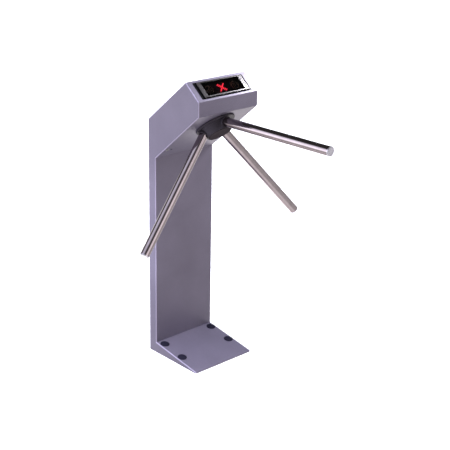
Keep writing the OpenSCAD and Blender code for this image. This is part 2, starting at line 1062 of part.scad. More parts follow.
module pawl() {
    color(dark_steel)
        at_hub()
            behind(pawl_mid + pawl_t / 2)
                difference() {
                    linear_extrude(pawl_t)
                        pawl_shape();
                    translate([pawl_pivot.x, pawl_pivot.y, -over])
                        cylinder(h = pawl_t + 2 * over, r = pawl_pin_d / 2 + run, $fn = 32);
                }
}

module left_pawl() {
    pawl();
}

module right_pawl() {
    mirror([1, 0, 0])
        pawl();
}

// Shouldered pins of the pawls, fixed in the back plate
module pawl_pins() {
    r = pawl_pin_d / 2;
    low = pawl_mid - pawl_t / 2 - slack;
    high = pawl_mid + pawl_t / 2 + slack;
    color(polished)
        at_hub()
            left_and_right()
                translate(pawl_pivot) {
                    behind(high + pin_head_t)
                        cylinder(h = high + pin_head_t - back_at, r = r, $fn = 32);
                    behind(low)
                        cylinder(h = low - back_in, r = r + pin_head_w, $fn = 32);
                    behind(high + pin_head_t)
                        cylinder(h = pin_head_t, r = r + pin_head_w, $fn = 32);
                }
}

module solenoid() {
    l = solenoid_size.x;
    w = solenoid_size.y;
    color(dark_steel)
        at_hub()
            difference() {
                translate([solenoid_x - l, solenoid_y - w / 2, -back_in - solenoid_h])
                    cube([l, w, solenoid_h]);
                for (x = [l / 5, 4 * l / 5])
                    translate([solenoid_x - x - coil_slot / 2, solenoid_y - w / 2 - over,
                        -back_in - solenoid_h - over])
                        cube([coil_slot, w + 2 * over, coil_slot + over]);
                translate([solenoid_x - l + plunger_bore_back, solenoid_y, -pawl_mid])
                    rotate([0, 90, 0])
                        cylinder(h = l, r = plunger_d / 2 + run, $fn = 48);
            }
}

module left_solenoid() {
    solenoid();
}

module right_solenoid() {
    mirror([1, 0, 0])
        solenoid();
}

// The place on the pawl's outer edge that the plunger pushes
pawl_rest_a = atan2(pawl_nose_at * sin(pawl_a) - pawl_pivot.y, pawl_nose_at * cos(pawl_a) - pawl_pivot.x)
    - pawl_swing;
push_x = pawl_pivot.x + (solenoid_y - pawl_pivot.y) / tan(pawl_rest_a) - pawl_w / 2 / abs(sin(pawl_rest_a));

module plunger() {
    r = plunger_d / 2;
    color(polished)
        at_hub()
            translate([push_x - plunger_gap - plunger_len, solenoid_y, -pawl_mid])
                rotate([0, 90, 0]) {
                    cylinder(h = plunger_len - plunger_tip, d = plunger_d, $fn = 48);
                    translate([0, 0, plunger_len - plunger_tip])
                        cylinder(h = plunger_tip, r1 = r, r2 = r - plunger_tip, $fn = 48);
                }
}

module left_plunger() {
    plunger();
}

module right_plunger() {
    mirror([1, 0, 0])
        plunger();
}

// The detent roller, held just clear of the cam's lobes
roller_at = [0, -cam_d / 2 - roller_d / 2 - roller_gap];
lever_at = cam_at + cam_t;

module detent_pin() {
    r = detent_pin_d / 2;
    color(polished)
        at_hub()
            translate(lever_pivot) {
                behind(lever_at + lever_t + slack + pin_head_t)
                    cylinder(h = lever_at + lever_t + slack + pin_head_t - back_at, r = r, $fn = 32);
                behind(lever_at + lever_t + slack + pin_head_t)
                    cylinder(h = pin_head_t, r = r + pin_head_w, $fn = 32);
            }
}

// Torsion spring round the lever's pin, as a plain sleeve of its outer size
module detent_spring() {
    color(dark_steel)
        at_hub()
            translate(lever_pivot)
                behind(cam_at - slack)
                    tube(spring_d / 2, spring_d / 2 - spring_wire, cam_at - slack - back_in);
}

module detent_lever() {
    v = roller_at - lever_pivot;
    color(steel)
        at_hub() {
            difference() {
                union() {
                    behind(lever_at + lever_t)
                        linear_extrude(lever_t)
                            translate(lever_pivot) {
                                circle(d = lever_boss_d, $fn = 48);
                                rotate([0, 0, atan2(v.y, v.x)])
                                    translate([0, -lever_w / 2])
                                        square([norm(v), lever_w]);
                                translate(v)
                                    circle(d = lever_w, $fn = 48);
                            }
                    translate(lever_pivot)
                        behind(lever_at)
                            cylinder(h = cam_t, d = lever_boss_d, $fn = 48);
                }
                translate(lever_pivot)
                    behind(lever_at + lever_t + over)
                        cylinder(h = cam_t + lever_t + 2 * over, r = detent_pin_d / 2 + run, $fn = 32);
            }
            translate(roller_at)
                behind(lever_at)
                    cylinder(h = cam_t, d = roller_pin_d, $fn = 32);
        }
}

module detent_roller() {
    color(brass)
        at_hub()
            translate(roller_at)
                behind(cam_at + (cam_t + roller_t) / 2)
                    tube(roller_d / 2, roller_pin_d / 2 + run, roller_t);
}

// Control board at the chassis plate's lower end
board_top = plate_in + board_lift + board_t;

module at_board_posts() {
    for (x = [-1, 1])
        for (y = [-1, 1])
            translate([x * (board_w / 2 - board_edge), board_y + y * (board_l / 2 - board_edge), 0])
                children();
}

module board_standoffs() {
    color(zinc)
        at_hub()
            behind(plate_in + board_lift)
                at_board_posts()
                    cylinder(h = board_lift, d = board_post_d, $fn = 24);
}

module control_board() {
    color(board_green)
        at_hub()
            slab(board_w, board_y - board_l / 2, board_y + board_l / 2, -board_top, -plate_in - board_lift);
}

module on_board(x, y, h) {
    at_hub()
        translate([x * board_w, board_y + y * board_l, -board_top - h])
            children();
}

relay_shares = [[-0.38, -0.12], [-0.24, -0.12], [-0.10, -0.12]];
can_shares = [[0.20, -0.18], [0.34, -0.18]];
chip_share = [0.12, 0.05];
terminal_share = [0, -0.45];

module board_components() {
    color(black_plastic) {
        for (p = relay_shares)
            on_board(p.x, p.y, relay_size.z)
                cube(relay_size);
        on_board(chip_share.x, chip_share.y, chip_size.z)
            cube(chip_size);
        for (p = can_shares)
            on_board(p.x, p.y, can_h)
                cylinder(h = can_h, d = can_d, $fn = 32);
    }
}

module terminal_block() {
    pitch = terminal_size.x / terminal_ways;
    color(terminal_green)
        on_board(terminal_share.x, terminal_share.y, terminal_size.z)
            translate([-terminal_size.x / 2, 0, 0])
                difference() {
                    cube(terminal_size);
                    for (k = [0:terminal_ways - 1])
                        translate([(k + 0.5) * pitch, terminal_size.y / 2, -over])
                            cylinder(h = terminal_size.z / 2 + over, d = pitch / 2, $fn = 16);
                }
}

// Steel core of the hub, with a spigot for each arm and a flat back
module hub_core() {
    spigot_r = arm_d / 2 - arm_wall - fit;
    color(dark_steel)
        difference() {
            intersection() {
                union() {
                    at_hub()
                        translate([0, 0, core_back])
                            cylinder(h = core_top - core_back, d = core_d, $fn = 96);
                    for (k = [0:2])
                        at_arm(k)
                            translate([0, 0, spigot_root])
                                cylinder(h = spigot_end - spigot_root, r = spigot_r, $fn = 48);
                }
                at_hub()
                    translate([-arm_reach, -arm_reach, core_back])
                        cube([2 * arm_reach, 2 * arm_reach, arm_reach]);
            }
            at_hub() {
                translate([0, 0, core_back - over])
                    cylinder(h = shaft_nose - core_back + over, r = shaft_r + fit, $fn = 64);
                cylinder(h = core_top + arm_reach, r = bolt_d / 2 + slack, $fn = 32);
                translate([0, 0, core_top])
                    cylinder(h = arm_reach, d = core_d, $fn = 64);
                key_block(fit);
                at_hub_screws()
                    translate([0, 0, core_top - hub_screw_len])
                        cylinder(h = hub_screw_len + over, d = hub_screw_d + slack, $fn = 24);
            }
        }
}

module at_hub_screws() {
    for (k = [0:2])
        rotate([0, 0, 120 * k - 90])
            translate([hub_screw_at, 0, 0])
                children();
}

module shaft_bolt() {
    color(zinc)
        at_hub() {
            translate([0, 0, core_top])
                cylinder(h = washer_t, d = washer_d, $fn = 48);
            translate([0, 0, core_top + washer_t])
                cylinder(h = bolt_head_h, d = bolt_head_d, $fn = 6);
            translate([0, 0, shaft_nose - bolt_reach + over])
                cylinder(h = core_top - shaft_nose + bolt_reach - over, r = bolt_d / 2 - fit, $fn = 32);
        }
}

module hub_screws() {
    color(zinc)
        at_hub()
            at_hub_screws()
                translate([0, 0, core_top + hub_wall])
                    button_screw(hub_screw_d, hub_screw_head_d, hub_screw_head_h, hub_screw_len);
}

// Outline of the hub's cover: flange, cone and top wall, as radius and height
module hub_cover_outline() {
    r = hub_d / 2;
    top_r = hub_top_r;
    fr = flange_d / 2;
    flange_top = hub_gap + flange_t;
    slope = (r - top_r) / (hub_h - flange_top);
    inner_top_r = top_r + slope * (hub_h - core_top) - hub_wall;
    polygon([
        [r - hub_wall, hub_gap],
        [fr - flange_edge, hub_gap],
        [fr, hub_gap + flange_edge],
        [fr, flange_top - flange_edge],
        [fr - flange_edge, flange_top],
        [r, flange_top],
        [top_r, hub_h],
        [hub_cap_r + slack, hub_h],
        [hub_cap_r + slack, core_top + hub_wall],
        [bolt_access_d / 2, core_top + hub_wall],
        [bolt_access_d / 2, core_top],
        [inner_top_r, core_top],
        [r - hub_wall, flange_top]]);
}

module hub_cover() {
    arm_r = arm_d / 2;
    color(black_plastic)
        difference() {
            union() {
                at_hub()
                    rotate_extrude($fn = 128)
                        hub_cover_outline();
                intersection() {
                    for (k = [0:2])
                        at_arm(k)
                            translate([0, 0, arm_start])
                                cylinder(h = collar_end - arm_start, r = arm_r + collar_w, $fn = 64);
                    at_hub()
                        translate([0, 0, hub_gap + flange_t / 2])
                            cylinder(h = hub_h, r = flange_d, $fn = 64);
                }
            }
            for (k = [0:2])
                at_arm(k)
                    translate([0, 0, spigot_root])
                        cylinder(h = spigot_end - spigot_root, r = arm_r + slack, $fn = 64);
            at_hub() {
                at_hub_screws()
                    translate([0, 0, core_top - over])
                        cylinder(h = hub_wall + 2 * over, d = hub_screw_d + 2 * slack, $fn = 24);
                translate([0, 0, core_top + hub_wall])
                    cylinder(h = cap_seat_h + over, r = hub_cap_r + slack, $fn = 96);
            }
        }
}

// Snap-in cap over the hub's bolt
module hub_cap() {
    color(black_plastic)
        at_hub()
            translate([0, 0, hub_h]) {
                cylinder(h = hub_cap_t - hub_cap_edge, r = hub_cap_r, $fn = 96);
                translate([0, 0, hub_cap_t - hub_cap_edge])
                    cylinder(h = hub_cap_edge, r1 = hub_cap_r, r2 = hub_cap_r - hub_cap_edge, $fn = 96);
                translate([0, 0, -cap_seat_h])
                    tube(hub_cap_r, hub_cap_r - cap_skirt, cap_seat_h);
            }
}

end_cap_t = 4;
end_cap_edge = 1;
end_plug_len = 12;

module arm_tube(k) {
    color(polished)
        at_arm(k)
            translate([0, 0, arm_start])
                tube(arm_d / 2, arm_d / 2 - arm_wall, arm_reach - end_cap_t - arm_start);
}

module upper_arm() {
    arm_tube(0);
}

module left_arm() {
    arm_tube(1);
}

module right_arm() {
    arm_tube(2);
}

module arm_end_caps() {
    r = arm_d / 2;
    color(polished)
        for (k = [0:2])
            at_arm(k)
                translate([0, 0, arm_reach - end_cap_t]) {
                    cylinder(h = end_cap_t - end_cap_edge, r = r, $fn = 64);
                    translate([0, 0, end_cap_t - end_cap_edge])
                        cylinder(h = end_cap_edge, r1 = r, r2 = r - end_cap_edge, $fn = 64);
                    translate([0, 0, -end_plug_len])
                        tube(r - arm_wall - fit, r - 2 * arm_wall, end_plug_len);
                }
}

// Key lock that frees the mechanism by hand
module at_lock() {
    at_hub()
        translate([lock_x, lock_y, 0])
            children();
}

module release_lock() {
    color(polished)
        at_lock()
            difference() {
                union() {
                    cylinder(h = lock_face_t, d = lock_face_d, $fn = 48);
                    behind(lock_body_len)
                        cylinder(h = lock_body_len, d = lock_body_d, $fn = 48);
                }
                behind(lock_body_len + over)
                    cylinder(h = lock_body_len + lock_face_t + 2 * over, r = barrel_d / 2 + run, $fn = 48);
            }
}

module lock_nut() {
    color(zinc)
        at_lock()
            behind(wall + lock_nut_t)
                difference() {
                    cylinder(h = lock_nut_t, d = lock_nut_d, $fn = 6);
                    translate([0, 0, -over])
                        cylinder(h = lock_nut_t + 2 * over, r = lock_body_d / 2 + fit, $fn = 48);
                }
}

module lock_barrel() {
    color(steel)
        at_lock() {
            difference() {
                behind(lock_body_len + slack)
                    cylinder(h = lock_body_len + slack + barrel_out, d = barrel_d, $fn = 48);
                translate([-keyhole.x / 2, -keyhole.y / 2, barrel_out - keyhole_depth])
                    cube([keyhole.x, keyhole.y, keyhole_depth + over]);
            }
            translate([-lock_cam_w / 2, -lock_cam_len, -lock_body_len - slack - lock_cam_t])
                cube([lock_cam_w, lock_cam_len + lock_cam_w / 2, lock_cam_t]);
        }
}

// A rectangular frame between two sizes, from z1 up to z2
module frame_slab(outer, inner, z1, z2) {
    difference() {
        slab(outer.x, -outer.y / 2, outer.y / 2, z1, z2);
        slab(inner.x, -inner.y / 2, inner.y / 2, z1 - over, z2 + over);
    }
}

// Black tray that fills the opening and holds the bezel, the window and the lamps
module display_tray() {
    outer = [display_w - 2 * cover_gap, display_l - 2 * cover_gap];
    inner = outer - 2 * [tray_wall, tray_wall];
    hole = [bezel_w - 4 * bezel_edge, bezel_l - 4 * bezel_edge];
    color(black_plastic)
        at_display() {
            difference() {
                rounded_slab(outer.x, outer.y, cover_corner - cover_gap, -tray_depth, 0);
                slab(inner.x, -inner.y / 2, inner.y / 2, -tray_depth - over, over);
            }
            frame_slab(inner, hole, -tray_sink - tray_wall, -tray_sink);
            slab(inner.x, -inner.y / 2, inner.y / 2, -tray_depth, -tray_depth + tray_wall);
            frame_slab(outer + 2 * [tray_lip, 0], outer, -wall - tray_wall, -wall);
            for (x = [-1, 1])
                for (y = [-1, 1])
                    translate([x * (hole.x / 2 - lamp_post_inset), y * (hole.y / 2 - lamp_post_inset),
                        -tray_depth + tray_wall])
                        cylinder(h = lamp_board_lift, d = lamp_post_d, $fn = 24);
        }
}

// Bright bezel with bevelled outer edges and a seat for the window
module display_bezel() {
    seat = [window_w + 2 * window_seat + slack, window_l + 2 * window_seat + slack];
    seat_low = bezel_rise - window_sink - window_t;
    bevel_low = bezel_rise - bezel_bevel;
    color(polished)
        at_display()
            difference() {
                union() {
                    slab(bezel_w, -bezel_l / 2, bezel_l / 2, -tray_sink, bevel_low);
                    intersection() {
                        translate([0, 0, bevel_low])
                            bevelled_block(bezel_w, bezel_l, bezel_bevel, bezel_edge);
                        slab(bezel_w, -bezel_l / 2, bezel_l / 2, -tray_sink, bezel_rise);
                    }
                }
                slab(window_w, -window_l / 2, window_l / 2, -tray_sink - over, bezel_rise + over);
                slab(seat.x, -seat.y / 2, seat.y / 2, -tray_sink - over, seat_low + window_t);
            }
}

// A block whose four upper edges slope in by edge over its height
module bevelled_block(w, l, h, edge) {
    intersection() {
        rotate([90, 0, 0])
            linear_extrude(l, center = true)
                polygon([[-w / 2, 0], [w / 2, 0], [w / 2 - edge, h], [-w / 2 + edge, h]]);
        across(w)
            polygon([[-l / 2, 0], [l / 2, 0], [l / 2 - edge, h], [-l / 2 + edge, h]]);
    }
}

module display_window() {
    color(smoked)
        at_display()
            slab(window_w + 2 * window_seat, -window_l / 2 - window_seat, window_l / 2 + window_seat,
                bezel_rise - window_sink - window_t, bezel_rise - window_sink);
}

lamp_board_top = -tray_depth + tray_wall + lamp_board_lift + board_t;

module indicator_board() {
    w = bezel_w - 4 * bezel_edge - 2 * lamp_board_gap;
    l = bezel_l - 4 * bezel_edge - 2 * lamp_board_gap;
    color(board_green)
        at_display()
            slab(w, -l / 2, l / 2, lamp_board_top - board_t, lamp_board_top);
}

// Lit cross on the board, a slab of two crossed bars
module stop_symbol() {
    color(lamp_red)
        at_display()
            translate([0, 0, lamp_board_top])
                linear_extrude(-symbol_top - lamp_board_top)
                    for (a = [-45, 45])
                        rotate([0, 0, a])
                            square([cross_size, cross_stroke], center = true);
}

// Unlit lamps beside the cross: a ring with an arrowhead that points outwards
module pass_symbols() {
    color(lamp_dark)
        at_display()
            left_and_right()
                translate([symbol_pitch, 0, lamp_board_top])
                    linear_extrude(-symbol_top - lamp_board_top) {
                        difference() {
                            circle(d = ring_outer_d, $fn = 64);
                            circle(d = ring_inner_d, $fn = 64);
                        }
                        polygon([[-arrow_l / 2, -arrow_w / 2], [arrow_l / 2, 0],
                            [-arrow_l / 2, arrow_w / 2]]);
                    }
}

body_shell();
mechanism_panel();
rear_cover();
service_lid();
cover_screws();
panel_screws();
panel_spacers();
base_plate();
inner_frame();
cable_grommet();
anchor_caps();
chassis_plate();
chassis_brackets();
plate_standoffs();
back_plate();
bearing_housing();
front_bearing();
rear_bearing();
main_shaft();
bearing_spacer();
shaft_ring();
lock_disc();
detent_cam();
encoder_disc();
shaft_nut();
disc_sensor();
left_pawl();
right_pawl();
pawl_pins();
left_solenoid();
right_solenoid();
left_plunger();
right_plunger();
detent_pin();
detent_spring();
detent_lever();
detent_roller();
control_board();
board_components();
terminal_block();
board_standoffs();
hub_core();
shaft_key();
shaft_bolt();
hub_cover();
hub_screws();
hub_cap();
upper_arm();
left_arm();
right_arm();
arm_end_caps();
release_lock();
lock_nut();
lock_barrel();
display_tray();
display_bezel();
display_window();
indicator_board();
stop_symbol();
pass_symbols();
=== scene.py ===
"""Looks of a slim tripod turnstile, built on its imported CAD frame."""

import json
import math

import bmesh
import bpy
from mathutils import Matrix, Vector

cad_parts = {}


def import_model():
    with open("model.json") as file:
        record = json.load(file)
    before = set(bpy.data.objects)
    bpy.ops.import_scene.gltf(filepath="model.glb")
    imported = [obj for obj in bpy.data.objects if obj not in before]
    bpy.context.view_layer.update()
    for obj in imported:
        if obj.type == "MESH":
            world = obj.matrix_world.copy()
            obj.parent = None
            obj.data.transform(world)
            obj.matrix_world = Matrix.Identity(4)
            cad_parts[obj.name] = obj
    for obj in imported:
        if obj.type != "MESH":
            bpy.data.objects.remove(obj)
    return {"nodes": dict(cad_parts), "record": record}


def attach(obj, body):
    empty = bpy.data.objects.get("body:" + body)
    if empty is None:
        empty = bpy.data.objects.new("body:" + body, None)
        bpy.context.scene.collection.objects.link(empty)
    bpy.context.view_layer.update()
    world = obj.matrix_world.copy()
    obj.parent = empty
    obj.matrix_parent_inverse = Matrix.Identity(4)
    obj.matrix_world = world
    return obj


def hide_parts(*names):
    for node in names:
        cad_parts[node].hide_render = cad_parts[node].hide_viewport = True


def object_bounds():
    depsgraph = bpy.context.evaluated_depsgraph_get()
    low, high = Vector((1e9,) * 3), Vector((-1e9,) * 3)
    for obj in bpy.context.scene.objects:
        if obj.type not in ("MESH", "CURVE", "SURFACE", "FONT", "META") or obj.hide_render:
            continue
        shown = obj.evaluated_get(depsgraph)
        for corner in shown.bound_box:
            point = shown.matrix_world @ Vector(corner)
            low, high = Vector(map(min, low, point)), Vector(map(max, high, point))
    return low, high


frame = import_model()
CAD_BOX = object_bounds()
NODES = frame["nodes"]
SLOTS = {part["node"]: part["material_slot"] for part in frame["record"]["subparts"]}

# Slopes of the display, of the service lid and of the mechanism panel, from rise and run in mm
DISPLAY_SLOPE = math.atan2(56.5, 67)
LID_SLOPE = math.atan2(162, 197)
PANEL_SLOPE = math.atan2(189.5, 225)
OUT_OF_REAR = Vector((0, 1, 0))
OUT_OF_LID = Vector((0, math.sin(LID_SLOPE), math.cos(LID_SLOPE)))
OUT_OF_DISPLAY = Vector((0, -math.sin(DISPLAY_SLOPE), math.cos(DISPLAY_SLOPE)))
OUT_OF_PANEL = Vector((0, -math.sin(PANEL_SLOPE), -math.cos(PANEL_SLOPE)))
ACROSS = Vector((1, 0, 0))

# The photograph's frame, its focal length and its principal point, in pixels
FRAME_PIXELS = 450
FOCAL_PIXELS = 1052.0
CENTRE_X, CENTRE_Y = 172.75, 204.09

# The camera's place in metres, its fall below level and its turn from the front, in degrees,
# and its sensor's width in mm
CAMERA_PLACE = (-2.3637, -2.6503, 1.8119)
CAMERA_FALL = 19.24
CAMERA_TURN = -40.27
SENSOR_WIDTH = 36.0

# The studio's light from straight below (height -1) to straight above (height 1)
STUDIO_LEVELS = ((-1.0, 0.55), (-0.85, 0.75), (-0.64, 0.55), (-0.45, 0.38), (-0.05, 0.40),
                 (0.03, 0.33), (0.14, 0.27), (0.28, 0.07), (0.5, 0.035), (1.0, 0.02))
STUDIO_TINT = (1.0, 0.96, 0.95)
STUDIO_STRENGTH = 2.0

# What is added to it, as (colour, (degrees round from the front, degrees up), (degrees from
# there where it starts to fade, and where it ends), pairs of heights between which it fades in)
PALE_WALL = ((0.50, 0.50, 0.52), (-135, 0), (66, 80), ((-0.30, -0.05), (0.45, 0.20)))
WALL_GLOW = ((1.60, 1.62, 1.84), (-133, 9), (13, 30), ())
LEFT_SHADE = ((-0.35, -0.33, -0.33), (-78, -24), (10, 52), ((-0.06, -0.25),))
HIGH_LIGHT = ((1.16, 1.19, 1.40), (-100, 43), (18, 33), ())
FILL_LIGHT = ((0.20, 0.19, 0.22), (-48, 54), (8, 30), ())
FRONT_LIGHT = ((1.60, 1.50, 1.54), (16, 18), (8, 27), ())
FLOOR_GLOW = ((0.60, 0.58, 0.56), (135, -42), (12, 42), ())
STUDIO_PATCHES = (PALE_WALL, WALL_GLOW, LEFT_SHADE, HIGH_LIGHT, FILL_LIGHT, FRONT_LIGHT,
                  FLOOR_GLOW)

# The white tent's rings of (radius, height, corners), and the floor's half width, in metres
TENT = ((56, -6, 0), (56, 12, 0), (48, 30, 0), (30, 44, 0), (8, 50, 0))
FLOOR_HALF = 60.0

# Cosines to the display's slope below which the bezel's colour is darkened to near black,
# and past which it is steel
BEZEL_DARKENED, BEZEL_FACE = 0.78, 0.90

# Cosines to the sides between which the paint lies on the folds and gets a painted highlight: off
# the front, and off the sides
HIGHLIGHT_OFF_FRONT = (0.12, 0.40)
HIGHLIGHT_OFF_SIDES = (0.995, 0.90)

# Distance in metres within which the CAD mesh's points are one point, and the angle in
# degrees past which an edge of a piece is sharp
WELD = 1e-6
SHARP = 35


# Materials

def new_material(name):
    """A material, its node tree and its shader."""
    material = bpy.data.materials.new(name)
    material.use_nodes = True
    tree = material.node_tree
    return material, tree, tree.nodes["Principled BSDF"]


def coordinates(tree, scale=(1, 1, 1)):
    """Object coordinates in metres, stretched by scale."""
    coords = tree.nodes.new("ShaderNodeTexCoord")
    mapping = tree.nodes.new("ShaderNodeMapping")
    mapping.inputs["Scale"].default_value = scale
    tree.links.new(coords.outputs["Object"], mapping.inputs["Vector"])
    return mapping.outputs["Vector"]


def noise(tree, vector, scale, detail=3.0, rough=0.55):
    """Noise from 0 to 1."""
    node = tree.nodes.new("ShaderNodeTexNoise")
    node.inputs["Scale"].default_value = scale
    node.inputs["Detail"].default_value = detail
    node.inputs["Roughness"].default_value = rough
    tree.links.new(vector, node.inputs["Vector"])
    return node.outputs["Fac"]


def ramp(tree, source, *stops):
    """A colour ramp fed by source. Each stop is (position, rgb)."""
    node = tree.nodes.new("ShaderNodeValToRGB")
    elements = node.color_ramp.elements
    while len(elements) < len(stops):
        elements.new(0.5)
    for element, (position, rgb) in zip(elements, stops):
        element.position = position
        element.color = (*rgb, 1.0)
    tree.links.new(source, node.inputs["Fac"])
    return node.outputs["Color"]


def spread(tree, source, low, high):
    """Maps 0..1 to low..high."""
    node = tree.nodes.new("ShaderNodeMapRange")
    node.inputs["To Min"].default_value = low
    node.inputs["To Max"].default_value = high
    tree.links.new(source, node.inputs["Value"])
    return node.outputs["Result"]


def mapped(tree, source, low, high):
    """Maps low..high to 0..1 smoothly."""
    node = tree.nodes.new("ShaderNodeMapRange")
    node.interpolation_type = "SMOOTHSTEP"
    node.inputs["From Min"].default_value = low
    node.inputs["From Max"].default_value = high
    tree.links.new(source, node.inputs["Value"])
    return node.outputs["Result"]


def joined(tree, operation, *values):
    """Values joined one after the other by an operation of the Math node."""
    total = values[0]
    for value in values[1:]:
        node = tree.nodes.new("ShaderNodeMath")
        node.operation = operation
        tree.links.new(total, node.inputs[0])
        tree.links.new(value, node.inputs[1])
        total = node.outputs[0]
    return total


def dotted(tree, source, direction):
    """The dot product of source and a fixed direction."""
    node = tree.nodes.new("ShaderNodeVectorMath")
    node.operation = "DOT_PRODUCT"
    node.inputs[1].default_value = direction
    tree.links.new(source, node.inputs[0])
    return node.outputs["Value"]


def facing(tree, direction):
    """The cosine of the angle between the surface's normal and a direction."""
    normal = tree.nodes.new("ShaderNodeNewGeometry").outputs["Normal"]
    return dotted(tree, normal, direction)


def scaled(tree, colour):
    """A node that scales a colour by its input Scale."""
    node = tree.nodes.new("ShaderNodeVectorMath")
    node.operation = "SCALE"
    tree.links.new(colour, node.inputs[0])
    return node


def tinted(tree, shader, factor):
    """Scales what feeds the shader's base colour."""
    node = scaled(tree, shader.inputs["Base Color"].links[0].from_socket)
    tree.links.new(factor, node.inputs["Scale"])
    tree.links.new(node.outputs[0], shader.inputs["Base Color"])


def bump(tree, shader, source, distance, strength):
    """Raises the surface by source."""
    node = tree.nodes.new("ShaderNodeBump")
    node.inputs["Distance"].default_value = distance
    node.inputs["Strength"].default_value = strength
    tree.links.new(source, node.inputs["Height"])
    tree.links.new(node.outputs["Normal"], shader.inputs["Normal"])


def surface(name, dark, light, metallic, rough, grain=400.0, stretch=(1, 1, 1), blotch=9.0,
            depth=0.00005, strength=0.3, gloss=0.5):
    """A finish with blotched colour, and with fine grain in its bump and roughness."""
    material, tree, shader = new_material(name)
    patches = noise(tree, coordinates(tree), blotch, detail=4.0)
    specks = noise(tree, coordinates(tree, stretch), grain, detail=2.0)
    mixed = joined(tree, "ADD", spread(tree, patches, 0.0, 0.5), spread(tree, specks, 0.0, 0.5))
    tree.links.new(ramp(tree, mixed, (0.35, dark), (0.65, light)), shader.inputs["Base Color"])
    tree.links.new(spread(tree, specks, *rough), shader.inputs["Roughness"])
    shader.inputs["Metallic"].default_value = metallic
    shader.inputs["Specular IOR Level"].default_value = gloss
    bump(tree, shader, specks, depth, strength)
    return material


def powder_coat():
    """Metallic powder coat: orange peel, fine flakes, scuffs that dull the sheen, and a
    painted highlight that lightens the colour on the folds beside the side panels."""
    material, tree, shader = new_material("powder_coat")
    place = coordinates(tree)
    patches = noise(tree, place, 5.0, detail=4.0)
    peel = noise(tree, place, 420.0, detail=2.0)
    flakes = noise(tree, place, 2600.0, detail=1.0)
    scuffs = noise(tree, coordinates(tree, (1.0, 1.0, 6.0)), 22.0, detail=6.0, rough=0.7)

    mixed = joined(tree, "ADD", spread(tree, patches, 0.0, 0.45), spread(tree, flakes, 0.0, 0.55))
    dark, light = (0.134, 0.120, 0.170), (0.206, 0.186, 0.256)
    tree.links.new(ramp(tree, mixed, (0.32, dark), (0.68, light)), shader.inputs["Base Color"])
    sheen = joined(tree, "ADD", spread(tree, scuffs, 0.30, 0.44), spread(tree, flakes, 0.0, 0.08))
    tree.links.new(sheen, shader.inputs["Roughness"])
    shader.inputs["Metallic"].default_value = 0.45

    # Painted highlight: the base colour is lightened up to 2.3 times on the folds between the
    # front and the side panels
    sideways = tree.nodes.new("ShaderNodeMath")
    sideways.operation = "ABSOLUTE"
    tree.links.new(facing(tree, ACROSS), sideways.inputs[0])
    fold_highlight = joined(tree, "MULTIPLY", mapped(tree, sideways.outputs[0], *HIGHLIGHT_OFF_FRONT),
                  mapped(tree, sideways.outputs[0], *HIGHLIGHT_OFF_SIDES))
    tinted(tree, shader, spread(tree, fold_highlight, 1.0, 2.3))

    grain = joined(tree, "ADD", peel, spread(tree, flakes, 0.0, 0.5))
    bump(tree, shader, grain, 0.00006, 0.28)
    return material


def faceplate():
    """Steel brushed along X, whose colour is darkened to near black on faces that don't face out
    of the display.
    """
    material = surface("brushed_bezel", (0.34, 0.32, 0.36), (0.48, 0.46, 0.50), metallic=1.0,
                       rough=(0.20, 0.30), grain=60.0, stretch=(1, 40, 40), blotch=14.0,
                       depth=0.00003, strength=0.2)
    tree = material.node_tree
    shader = tree.nodes["Principled BSDF"]
    # The colour is darkened to near black on faces turned away from the display's slope
    face = mapped(tree, facing(tree, OUT_OF_DISPLAY), BEZEL_DARKENED, BEZEL_FACE)
    tinted(tree, shader, spread(tree, face, 0.02, 1.0))
    return material


def lit_lamp():
    """A lit red lamp, whose lens is brighter in some grains than in others."""
    material, tree, shader = new_material("lit_lamp")
    specks = noise(tree, coordinates(tree), 500.0, detail=2.0)
    red, deep, dim = (1.0, 0.06, 0.10), (0.75, 0.012, 0.030), (0.5, 0.01, 0.02)
    tree.links.new(ramp(tree, specks, (0.30, dim), (0.70, red)), shader.inputs["Base Color"])
    tree.links.new(ramp(tree, specks, (0.25, deep), (0.75, red)), shader.inputs["Emission Color"])
    shader.inputs["Emission Strength"].default_value = 2.4
    tree.links.new(spread(tree, specks, 0.25, 0.45), shader.inputs["Roughness"])
    return material


def smoked_glass():
    """The display's dark window, hardly mirroring."""
    material, tree, shader = new_material("smoked_window")
    specks = noise(tree, coordinates(tree), 700.0)
    dark, light = (0.44, 0.40, 0.41), (0.48, 0.44, 0.45)
    tree.links.new(ramp(tree, specks, (0.3, dark), (0.7, light)), shader.inputs["Base Color"])
    tree.links.new(spread(tree, specks, 0.01, 0.03), shader.inputs["Roughness"])
    shader.inputs["IOR"].default_value = 1.24
    shader.inputs["Transmission Weight"].default_value = 1.0
    return material


def circuit_board():
    """Solder mask over a grid of tracks, which stand out lighter and a little proud."""
    material, tree, shader = new_material("solder_mask")
    place = coordinates(tree)
    tracks = tree.nodes.new("ShaderNodeTexBrick")
    tracks.inputs["Scale"].default_value = 60.0
    tracks.inputs["Mortar Size"].default_value = 0.06
    tracks.inputs["Color1"].default_value = (0.006, 0.070, 0.028, 1.0)
    tracks.inputs["Color2"].default_value = (0.009, 0.090, 0.034, 1.0)
    tracks.inputs["Mortar"].default_value = (0.022, 0.190, 0.070, 1.0)
    tree.links.new(place, tracks.inputs["Vector"])
    tree.links.new(tracks.outputs["Color"], shader.inputs["Base Color"])
    tree.links.new(spread(tree, noise(tree, place, 300.0), 0.20, 0.36), shader.inputs["Roughness"])
    shader.inputs["Coat Weight"].default_value = 0.4
    shader.inputs["Coat Roughness"].default_value = 0.2
    bump(tree, shader, tracks.outputs["Fac"], 0.00005, 0.4)
    return material


